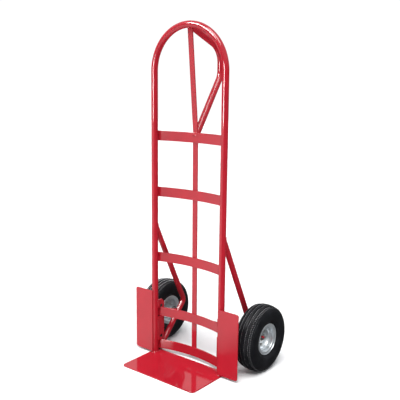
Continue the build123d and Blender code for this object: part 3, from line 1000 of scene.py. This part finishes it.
# ---------------------------------------------------------------- axle and its fittings
class TRUCK_OT_axle(bpy.types.Operator):
    """Build the painted axle, its spacers and washers, and the cotter pins"""

    bl_idname = "truck.axle"
    bl_label = "Axle and fittings"

    def execute(self, context):
        low, high = span("axle", 0)
        start = Vector((low, AXLE_Y, AXLE_Z))
        bm = round_bar(start, Vector((high - low, 0, 0)), AXLE_R, 40)
        make_painted(bm, "axle", bevel=0.001)
        rings = (
            ("axle_spacer", "red_paint"),
            ("inner_washer", "zinc_fastener"),
            ("outer_washer", "zinc_fastener"),
        )
        for name, _ in SIDES:
            for kind, slot in rings:
                self.ring_on_axle(f"{name}_{kind}", slot)
            self.cotter_pin(f"{name}_cotter_pin")
        return {"FINISHED"}

    def ring_on_axle(self, node, slot):
        """A washer or spacer with rounded edges."""
        x0, x1 = span(node, 0)
        outer = (span(node, 2)[1] - span(node, 2)[0]) / 2
        inner = AXLE_R + 0.00005
        bm = bmesh.new()
        outline = [(x0, inner), (x1, inner), (x1, outer), (x0, outer)]
        verts = [bm.verts.new((x, AXLE_Y, AXLE_Z + r)) for x, r in outline]
        spin_line(bm, verts, 48)
        make_piece(bm, node, "finished", "frame", slot, bevel=0.0003)

    def cotter_pin(self, node):
        """A split pin: an eye on top, two half-round legs through the axle, bent apart below."""
        x = sum(span(node, 0)) / 2
        wire = 0.00078
        eye_r, eye_rise, eye_points = 0.0024, 0.0036, 15
        below, above = AXLE_Z - AXLE_R, AXLE_Z + AXLE_R
        clear = 0.0004
        line = [(-0.0062, below - 0.0058), (-0.0030, below - 0.0026)]
        line += [(-wire, below - clear), (-wire, above + clear)]
        for i in range(eye_points):
            angle = radians(-115) - radians(310) * i / (eye_points - 1)
            line.append((eye_r * cos(angle), above + eye_rise + eye_r * sin(angle)))
        line += [(wire, above + clear), (wire, below - clear)]
        line += [(0.0032, below - 0.0022), (0.0064, below - 0.0046)]
        points = [Vector((x, AXLE_Y + y, z)) for y, z in line]
        bm = joined([rod(points, [wire] * len(points), node, resolution=4)])
        make_piece(bm, node, "finished", "frame", "zinc_fastener", sharp_angle=radians(70))


# ---------------------------------------------------------------- wheels
BEAD_R = 0.0515
BEAD_U = 0.0286
RIM_T = 0.0024
HUB_R = 0.020
HUB_OUTER_U = span("right_bearing_outer_races", 0)[1] - WHEEL_X
HUB_INNER_U = span("right_bearing_outer_races", 0)[0] - WHEEL_X
BOLT_CIRCLE_R = 0.028
BOLT_COUNT = 5
FIRST_BOLT_ANGLE = radians(145.0)
VALVE_ANGLE = radians(253.0)
VALVE_ROOT_R = 0.041
VALVE_ROOT_U = 0.0056
VALVE_LEAN_IN = 0.678
VALVE_LEAN_OUT = 0.735
HUB_BORE_R = 0.0175
HUB_FLANGE_R = 0.035
HUB_FLANGE_T = 0.0030
HUB_END_GAP = 0.0016


def distance_from_axle(point):
    """A point's distance from the axle's centre line."""
    return hypot(point.y - AXLE_Y, point.z - AXLE_Z)


def smoothed(points, rounds):
    """Cut the corners of an open line of points, to make it a smooth one."""
    for _ in range(rounds):
        cut = [points[0]]
        for a, b in zip(points, points[1:]):
            cut.append(tuple(p * 0.75 + q * 0.25 for p, q in zip(a, b)))
            cut.append(tuple(p * 0.25 + q * 0.75 for p, q in zip(a, b)))
        cut.append(points[-1])
        points = cut
    return points


class TRUCK_OT_tyres(bpy.types.Operator):
    """Build the tyres with their zigzag ribs, shoulder sipes and moulded sidewall rings"""

    bl_idname = "truck.tyres"
    bl_label = "Tyres"

    full_swing = 0.0015
    half_groove = 0.0021
    groove_middles = (0.0085, 0.0235)
    crown_drop = 0.0075
    shoulder_u = 0.0345
    notched_r = 0.1150

    def crown_r(self, u):
        """The crown's radius at a distance from the tyre's middle."""
        return TYRE_R - self.crown_drop * (abs(u) / self.shoulder_u) ** 2.2

    def section(self, depth):
        """
        The outline from one bead to the other, two grooves a side: (radius, u, zigzag). u is counted
        from the middle of the tyre, and zigzag is how far a rib's edge swings.
        """
        swing = self.full_swing
        half = [(TYRE_R, 0.0, 0.0)]
        for centre in self.groove_middles:
            near, far = centre - self.half_groove, centre + self.half_groove
            half.append((self.crown_r(near) - 0.0002, near - 0.0014, swing * 0.8))
            half.append((self.crown_r(near) - 0.0005, near, swing))
            half.append((self.crown_r(near) - depth, near + 0.0006, swing))
            half.append((self.crown_r(far) - depth, far - 0.0006, -swing))
            half.append((self.crown_r(far) - 0.0005, far, -swing))
            half.append((self.crown_r(far) - 0.0002, far + 0.0014, -swing * 0.8))
        shoulder = [
            (self.crown_r(0.0340), 0.0340),
            (0.1202, 0.0368),
            (0.1176, 0.0380),
            (0.1168, 0.0392),
            (0.1120, 0.0412),
            (0.1090, 0.0428),
            (0.1050, 0.0437),
            (0.0980, 0.0444),
            (0.0920, 0.0445),
            (0.0860, 0.0440),
            (0.0800, 0.0428),
            (0.0776, 0.0424),
            (0.0764, 0.0414),
            (0.0735, 0.0402),
            (0.0700, 0.0380),
            (0.0672, 0.0356),
            (0.0650, 0.0330),
            (0.0637, 0.0306),
            (0.0630, BEAD_U),
            (BEAD_R, BEAD_U),
            (BEAD_R, BEAD_U - 0.009),
        ]
        half += [(r, u, 0.0) for r, u in shoulder]
        mirrored = [(r, -u, -z) for r, u, z in reversed(half[1:])]
        return mirrored + half

    def execute(self, context):
        wheels = context.scene.truck_wheels
        for name, side in SIDES:
            steps = wheels.tread_pitch_count * 2
            outline = self.section(wheels.groove_depth)
            bm = bmesh.new()
            layer = bm.verts.layers.float.new("swing")
            verts = []
            for r, u, swing in outline:
                vert = on_section(bm, side, r, u)
                vert[layer] = swing
                verts.append(vert)
            spin_line(bm, verts, steps)
            self.swing_the_ribs(bm, layer, side, steps)
            self.cut_shoulder_sipes(bm, steps)
            # Marks the rib-edge tips that the rubber paints as glints: painted highlights.
            self.mark_painted_glints(bm, layer, steps)
            make_wheel_piece(bm, name, "tyre", "moulded", "tyre_rubber", sharp_angle=radians(24))
        return {"FINISHED"}

    def step_of(self, vert, steps):
        """Which step of the spin a vertex belongs to."""
        angle = atan2(vert.co.y - AXLE_Y, vert.co.z - AXLE_Z) % (2 * pi)
        return int(round(angle / (2 * pi) * steps)) % steps

    def sink(self, vert, radius, depth):
        """Move a vertex at a radius towards the axle."""
        share = (radius - depth) / radius
        vert.co.y = AXLE_Y + (vert.co.y - AXLE_Y) * share
        vert.co.z = AXLE_Z + (vert.co.z - AXLE_Z) * share

    def swing_the_ribs(self, bm, layer, side, steps):
        """Turn the straight rib edges into zigzags, every other tip sunk a little."""
        for vert in bm.verts:
            swing = vert[layer]
            if swing:
                way = 1 if self.step_of(vert, steps) % 2 else -1
                vert.co.x += side * way * swing
                radius = distance_from_axle(vert.co)
                if way > 0 and radius > TYRE_R - 0.0045:
                    self.sink(vert, radius, 0.0017)

    def cut_shoulder_sipes(self, bm, steps):
        """Press a short notch into the shoulder at every other step."""
        for vert in bm.verts:
            radius = distance_from_axle(vert.co)
            u = abs(abs(vert.co.x) - WHEEL_X)
            if 0.0330 < u < 0.0385 and radius > self.notched_r and self.step_of(vert, steps) % 2:
                self.sink(vert, radius, 0.0016)

    def mark_painted_glints(self, bm, layer, steps):
        """Mark every other tip on one edge of each groove and on the shoulders, where the rubber gets
        painted highlights: light glint dashes.
        """
        glint_marks = bm.verts.layers.float.new("glint_marks")
        for vert in bm.verts:
            if self.step_of(vert, steps) % 2:
                continue
            radius = distance_from_axle(vert.co)
            u = abs(abs(vert.co.x) - WHEEL_X)
            if vert[layer] < -0.95 * self.full_swing and radius > self.crown_r(u) - 0.0030:
                vert[glint_marks] = 1.0
            elif self.shoulder_u - 0.001 < u < self.shoulder_u and radius > self.notched_r:
                vert[glint_marks] = 0.46


class TRUCK_OT_rims(bpy.types.Operator):
    """Build the pressed rim halves, with rolled lips and stepped walls, and the hubs"""

    bl_idname = "truck.rims"
    bl_label = "Rims and hubs"

    def sheet(self, way):
        """The middle of the pressed sheet, (radius, u), from its rolled lip to the bolting face."""
        corners = [
            (0.0600, 0.0338),
            (0.0618, 0.0330),
            (0.0612, 0.0312),
            (0.0585, 0.0301),
            (0.0540, 0.0300),
            (0.0500, 0.0296),
            (0.0494, 0.0270),
            (0.0494, 0.0180),
            (0.0488, 0.0160),
            (0.0462, 0.0148),
            (0.0446, 0.0136),
            (0.0440, 0.0110),
            (0.0425, 0.0080),
            (0.0395, 0.0045),
            (0.0365, 0.0022),
            (0.0345, 0.0012),
            (0.0202, 0.0012),
        ]
        return [(r, way * u) for r, u in smoothed(corners, 2)]

    def execute(self, context):
        for name, side in SIDES:
            for part, way in (("rim_outer_half", 1), ("rim_inner_half", -1)):
                bm = bmesh.new()
                line = [on_section(bm, side, r, u) for r, u in self.sheet(way)]
                spin_line(bm, line, 112, closed=False)
                bmesh.ops.recalc_face_normals(bm, faces=bm.faces)
                bmesh.ops.solidify(bm, geom=list(bm.faces), thickness=RIM_T * 0.8)
                make_wheel_piece(bm, name, part, "plated", "galvanised", sharp_angle=radians(50))
            self.hub(name, side)
        return {"FINISHED"}

    def hub(self, name, side):
        """The hub sleeve with its flange, turned as one outline."""
        low, high = HUB_INNER_U + HUB_END_GAP, HUB_OUTER_U - HUB_END_GAP
        face = -RIM_T
        back = face - HUB_FLANGE_T
        outline = [
            (HUB_BORE_R, low),
            (HUB_R, low),
            (HUB_R, back - 0.0030),
            (HUB_R + 0.0012, back - 0.0008),
            (HUB_R + 0.0030, back),
            (HUB_FLANGE_R, back),
            (HUB_FLANGE_R, face),
            (HUB_R, face),
            (HUB_R, high),
            (HUB_BORE_R, high),
        ]
        bm = bmesh.new()
        spin_line(bm, [on_section(bm, side, r, u) for r, u in outline], 72)
        make_wheel_piece(bm, name, "hub", "plated", "galvanised", bevel=0.0003)


def on_section(bm, side, radius, u):
    """A new vertex of a wheel's section, above the axle."""
    return bm.verts.new((side * (WHEEL_X + u), AXLE_Y, AXLE_Z + radius))


def on_wheel(side, radius, angle, u):
    """A point of the wheel, its angle counted as the CAD pieces count it."""
    y, z = AXLE_Y + radius * sin(angle), AXLE_Z - side * radius * cos(angle)
    return Vector((side * (WHEEL_X + u), y, z))


class TRUCK_OT_rim_bolts(bpy.types.Operator):
    """Build the bolts and nuts that hold the rim halves and the hub flange together"""

    bl_idname = "truck.rim_bolts"
    bl_label = "Rim bolts and nuts"

    def execute(self, context):
        for name, side in SIDES:
            bolts, nuts = [], []
            outwards = Vector((side, 0, 0))
            for i in range(BOLT_COUNT):
                angle = FIRST_BOLT_ANGLE + 2 * pi * i / BOLT_COUNT
                centre = on_wheel(side, BOLT_CIRCLE_R, angle, 0.0)
                head = centre + outwards * RIM_T
                nut = centre - outwards * (RIM_T + HUB_FLANGE_T)
                bolts.append(self.hexagon(head, outwards, 0.0052, i))
                bolts.append(self.shank(centre - outwards * 0.0170, outwards))
                nuts.append(self.hexagon(nut, -outwards, 0.0062, i + 2))
            for kind, pieces in (("rim_bolts", bolts), ("rim_nuts", nuts)):
                bm = joined(pieces)
                make_wheel_piece(bm, name, kind, "plated", "zinc_fastener", sharp_angle=radians(30))
        return {"FINISHED"}

    def hexagon(self, base, way, height, turn):
        """A bolt head or nut with its corners turned down."""
        corner_r = 0.0075
        bm = bmesh.new()
        bmesh.ops.create_circle(bm, cap_ends=True, radius=corner_r, segments=6)
        spun = Matrix.Rotation(turn * 0.7, 3, "Z")
        bmesh.ops.rotate(bm, verts=bm.verts, cent=(0, 0, 0), matrix=spun)
        made = bmesh.ops.extrude_face_region(bm, geom=list(bm.faces))["geom"]
        bmesh.ops.translate(bm, verts=ring_verts(made), vec=(0, 0, height))
        bmesh.ops.recalc_face_normals(bm, faces=bm.faces)
        top = [e for e in bm.edges if all(v.co.z > height / 2 for v in e.verts)]
        round_off(bm, top, corner_r * 0.13, "EDGES", 2, clamp=False)
        return self.set_down(bm, base, way)

    def shank(self, base, way):
        """The plain round body of a bolt."""
        bm = round_bar(Vector((0, 0, 0)), Vector((0, 0, 0.0194)), 0.0040, 20)
        return self.set_down(bm, base, way)

    def set_down(self, bm, base, way):
        """Stand a fastener on its base and return its mesh."""
        stand_up(bm, base, way)
        mesh = bpy.data.meshes.new("fastener")
        bm.to_mesh(mesh)
        bm.free()
        return mesh


class TRUCK_OT_bearings(bpy.types.Operator):
    """Finish the bearings: outer races, inner races and shields"""

    bl_idname = "truck.bearings"
    bl_label = "Bearings"

    def execute(self, context):
        slots = {
            "bearing_outer_races": "bearing_steel",
            "bearing_inner_races": "bearing_steel",
            "bearing_shields": "seal_rubber",
        }
        for name, _ in SIDES:
            for kind, slot in slots.items():
                bm = merged_copy(f"{name}_{kind}")
                make_wheel_piece(bm, name, kind, "finished", slot, sharp_angle=COPY_SHARP_ANGLE)
        return {"FINISHED"}


class TRUCK_OT_valves(bpy.types.Operator):
    """Build the valve stems with their rubber roots and caps"""

    bl_idname = "truck.valves"
    bl_label = "Valves"

    stem = (
        (0.0, 0.0),
        (0.0042, 0.0),
        (0.0042, 0.0055),
        (0.0040, 0.0085),
        (0.0034, 0.0120),
        (0.0030, 0.0150),
        (0.0027, 0.0175),
        (0.0026, 0.0220),
        (0.0, 0.0220),
    )
    cap = (
        (0.0, 0.0190),
        (0.0041, 0.0190),
        (0.0043, 0.0196),
        (0.0043, 0.0232),
        (0.0038, 0.0240),
        (0.0037, 0.0292),
        (0.0031, 0.0304),
        (0.0, 0.0306),
    )

    def execute(self, context):
        for name, side in SIDES:
            self.stand(name, side, "valve_stem", "tube_rubber", self.stem)
            self.stand(name, side, "valve_cap", "cap_plastic", self.cap)
        return {"FINISHED"}

    def stand(self, name, side, kind, slot, outline):
        """Spin an outline of (radius, height) and stand it square on the rim's sloped wall."""
        bm = bmesh.new()
        verts = [bm.verts.new((r, 0, h)) for r, h in outline]
        spin_line(bm, verts, 28, closed=False, centre=(0, 0, 0), axis=(0, 0, 1))
        reach = 0.03
        base = on_wheel(side, VALVE_ROOT_R, VALVE_ANGLE, VALVE_ROOT_U)
        tip_r, tip_u = VALVE_ROOT_R - VALVE_LEAN_IN * reach, VALVE_ROOT_U + VALVE_LEAN_OUT * reach
        tip = on_wheel(side, tip_r, VALVE_ANGLE, tip_u)
        stand_up(bm, base, (tip - base).normalized())
        make_wheel_piece(bm, name, kind, "finished", slot, sharp_angle=radians(35))


class TRUCK_OT_inner_parts(bpy.types.Operator):
    """Give the CAD parts that stay inside the wheels their finishes"""

    bl_idname = "truck.inner_parts"
    bl_label = "Parts inside the wheels"

    def execute(self, context):
        for name, _ in SIDES:
            for kind, slot in (("inner_tube", "tube_rubber"), ("bearing_balls", "bearing_steel")):
                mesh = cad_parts[f"{name}_{kind}"].data
                mesh.materials.clear()
                mesh.materials.append(finish_for(slot))
        return {"FINISHED"}


# ---------------------------------------------------------------- stage
FLOOR_R = 14.0
# Where reflections see the floor glow, and how strongly: from and to on that way, least and most
FLOOR_GLOW_WAY = (-0.64, -0.77, 0.0)
FLOOR_GLOW_RISE = {"from_low": 0.45, "from_high": 0.88, "low": 0.14, "high": 1.45}
KEY_PLACE = (-2.75, -1.55, 2.05)
KEY_AIM = (0, 0, 1.0)
KEY_SIZE = (1.8, 2.3)
PANEL_AIM = (0, 0, 1.2)
# Name, place, width and height of each panel
PANELS = (
    ("front_panel", (-0.62, -3.25, 1.06), 0.9, 0.7),
    ("upper_panel", (-1.30, -2.70, 3.25), 2.3, 1.3),
)
OVERHEAD_SPREAD = radians(40)
OVERHEAD_WAY = (-0.28, 0.45, -1.0)
CAMERA_TARGET = (-0.0295, 0.0, 0.6207)
CAMERA_LENS = 58.53
CAMERA_SHIFT = (0.0462, 0.0221)
CAMERA_ROLL = radians(0.34)
# The sky's colour and strength as light, and its strength to the camera
SKY_TINT = (0.94, 0.96, 1.0, 1.0)
SKY_LIGHT = 0.5
SKY_SEEN = 1.05
# The heights between which its reflection brightens, and the reflection's least and most strength
SKY_RISE = {"From Min": 0.02, "From Max": 0.45, "To Min": 0.12, "To Max": 0.95}


def stage_finish(name):
    """The floor: matt white, and in reflections bright on the left only, as a lit studio floor is."""
    made = Finish(name)
    made.feed("Base Color", made.blend(made.noise(1.3, 2.0), (0.86, 0.86, 0.86), (0.85, 0.85, 0.85)))
    made.fix(Roughness=0.8, Specular_IOR_Level=0.1)
    outwards = made.node("ShaderNodeVectorMath")
    outwards.operation = "NORMALIZE"
    made.links.new(made.where, outwards.inputs[0])
    towards = made.node("ShaderNodeVectorMath")
    towards.operation = "DOT_PRODUCT"
    made.links.new(outwards.outputs["Vector"], towards.inputs[0])
    towards.inputs[1].default_value = FLOOR_GLOW_WAY
    glow = made.node("ShaderNodeEmission", Color=(1.0, 1.0, 1.0, 1.0))
    strength = made.spread(towards.outputs["Value"], **FLOOR_GLOW_RISE)
    made.links.new(strength, glow.inputs["Strength"])
    seen = made.node("ShaderNodeLightPath")
    choose = made.node("ShaderNodeMixShader")
    made.links.new(seen.outputs["Is Glossy Ray"], choose.inputs["Fac"])
    made.links.new(made.shader.outputs["BSDF"], choose.inputs[1])
    made.links.new(glow.outputs["Emission"], choose.inputs[2])
    made.links.new(choose.outputs["Shader"], made.nodes["Material Output"].inputs["Surface"])
    return made.material


class TRUCK_OT_stage(bpy.types.Operator):
    """Set out the floor, the soft lights and the camera"""

    bl_idname = "truck.stage"
    bl_label = "Stage and camera"

    def execute(self, context):
        stage = context.scene.truck_stage
        self.floor()
        self.lights(stage)
        self.camera(stage)
        self.sky()
        context.scene.view_settings.view_transform = "Standard"
        return {"FINISHED"}

    def floor(self):
        bm = bmesh.new()
        bmesh.ops.create_circle(bm, cap_ends=True, radius=FLOOR_R, segments=96)
        mesh = bpy.data.meshes.new("floor")
        bm.to_mesh(mesh)
        bm.free()
        mesh.materials.append(stage_finish("floor_matt"))
        floor = bpy.data.objects.new("floor", mesh)
        bpy.context.scene.collection.objects.link(floor)

    def hang(self, name, light, place_at, way):
        """Link a lamp that shines along way."""
        lamp = bpy.data.objects.new(name, light)
        lamp.location = place_at
        lamp.rotation_euler = way.to_track_quat("-Z", "Y").to_euler()
        bpy.context.scene.collection.objects.link(lamp)
        return lamp

    def area(self, name, place_at, aim, size, power):
        """A rectangular lamp that faces a point."""
        light = bpy.data.lights.new(name, "AREA")
        light.shape = "RECTANGLE"
        light.size, light.size_y = size
        light.energy = power
        return self.hang(name, light, place_at, Vector(aim) - Vector(place_at))

    def lights(self, stage):
        key = self.area("key", KEY_PLACE, KEY_AIM, KEY_SIZE, stage.key_power)
        key.visible_glossy = False
        for name, spot, wide, high in PANELS:
            power = stage.panel_power * wide * high
            panel = self.area(name, spot, PANEL_AIM, (wide, high), power)
            panel.visible_diffuse = False
        light = bpy.data.lights.new("overhead", "SUN")
        light.energy = stage.fill_power
        light.angle = OVERHEAD_SPREAD
        self.hang("overhead", light, (0, 0, 0), Vector(OVERHEAD_WAY))

    def camera(self, stage):
        target = Vector(CAMERA_TARGET)
        flat = cos(stage.elevation) * stage.distance
        height = sin(stage.elevation) * stage.distance
        away = Vector((sin(stage.azimuth) * flat, -cos(stage.azimuth) * flat, height))
        spot = target + away
        data = bpy.data.cameras.new("camera")
        data.sensor_width = 36.0
        data.lens = CAMERA_LENS
        data.shift_x, data.shift_y = CAMERA_SHIFT
        data.clip_end = 100.0
        camera = bpy.data.objects.new("camera", data)
        camera.location = spot
        look = (target - spot).to_track_quat("-Z", "Y").to_matrix()
        roll = Matrix.Rotation(CAMERA_ROLL, 3, "Z")
        camera.rotation_euler = (look @ roll).to_euler()
        bpy.context.scene.collection.objects.link(camera)
        bpy.context.scene.camera = camera

    def sky(self):
        """A surround: white to the camera, soft grey as light, darker low down in reflections."""
        world = bpy.data.worlds.new("surround")
        world.use_nodes = True
        nodes, links = world.node_tree.nodes, world.node_tree.links
        soft = nodes["Background"]
        soft.inputs["Color"].default_value = SKY_TINT
        soft.inputs["Strength"].default_value = SKY_LIGHT
        where = nodes.new("ShaderNodeTexCoord")
        split = nodes.new("ShaderNodeSeparateXYZ")
        links.new(where.outputs["Object"], split.inputs["Vector"])
        rise = nodes.new("ShaderNodeMapRange")
        links.new(split.outputs["Z"], rise.inputs["Value"])
        for socket, value in SKY_RISE.items():
            rise.inputs[socket].default_value = value
        mirrored = nodes.new("ShaderNodeBackground")
        links.new(rise.outputs["Result"], mirrored.inputs["Strength"])
        white = nodes.new("ShaderNodeBackground")
        white.inputs["Strength"].default_value = SKY_SEEN
        for background in (mirrored, white):
            background.inputs["Color"].default_value = (1.0, 1.0, 1.0, 1.0)
        seen = nodes.new("ShaderNodeLightPath")
        shiny = nodes.new("ShaderNodeMixShader")
        links.new(seen.outputs["Is Glossy Ray"], shiny.inputs["Fac"])
        links.new(soft.outputs["Background"], shiny.inputs[1])
        links.new(mirrored.outputs["Background"], shiny.inputs[2])
        choose = nodes.new("ShaderNodeMixShader")
        links.new(seen.outputs["Is Camera Ray"], choose.inputs["Fac"])
        links.new(shiny.outputs["Shader"], choose.inputs[1])
        links.new(white.outputs["Background"], choose.inputs[2])
        links.new(choose.outputs["Shader"], nodes["World Output"].inputs["Surface"])
        bpy.context.scene.world = world


# ---------------------------------------------------------------- panel, registration and run
OPERATORS = (
    TRUCK_OT_stage,
    TRUCK_OT_loop_tube,
    TRUCK_OT_crossbars,
    TRUCK_OT_centre_strap,
    TRUCK_OT_handle,
    TRUCK_OT_braces,
    TRUCK_OT_plates,
    TRUCK_OT_brackets,
    TRUCK_OT_welds,
    TRUCK_OT_axle,
    TRUCK_OT_tyres,
    TRUCK_OT_rims,
    TRUCK_OT_rim_bolts,
    TRUCK_OT_bearings,
    TRUCK_OT_valves,
    TRUCK_OT_inner_parts,
)


class TRUCK_PT_panel(bpy.types.Panel):
    """The truck's settings and pieces"""

    bl_label = "Hand truck"
    bl_idname = "TRUCK_PT_panel"
    bl_space_type = "VIEW_3D"
    bl_region_type = "UI"
    bl_category = "Hand truck"

    def draw(self, context):
        scene = context.scene
        for settings in (scene.truck_paint, scene.truck_wheels, scene.truck_stage):
            box = self.layout.box()
            for name in settings.__annotations__:
                box.prop(settings, name)
        for operator in OPERATORS:
            self.layout.operator(operator.bl_idname)


CLASSES = (PaintSettings, WheelSettings, StageSettings, *OPERATORS, TRUCK_PT_panel)


def register():
    for cls in CLASSES:
        bpy.utils.register_class(cls)
    bpy.types.Scene.truck_paint = PointerProperty(type=PaintSettings)
    bpy.types.Scene.truck_wheels = PointerProperty(type=WheelSettings)
    bpy.types.Scene.truck_stage = PointerProperty(type=StageSettings)


def unregister():
    del bpy.types.Scene.truck_stage
    del bpy.types.Scene.truck_wheels
    del bpy.types.Scene.truck_paint
    for cls in reversed(CLASSES):
        bpy.utils.unregister_class(cls)


def main():
    register()
    for operator in OPERATORS:
        group, name = operator.bl_idname.split(".")
        getattr(getattr(bpy.ops, group), name)()


if __name__ == "__main__":
    main()
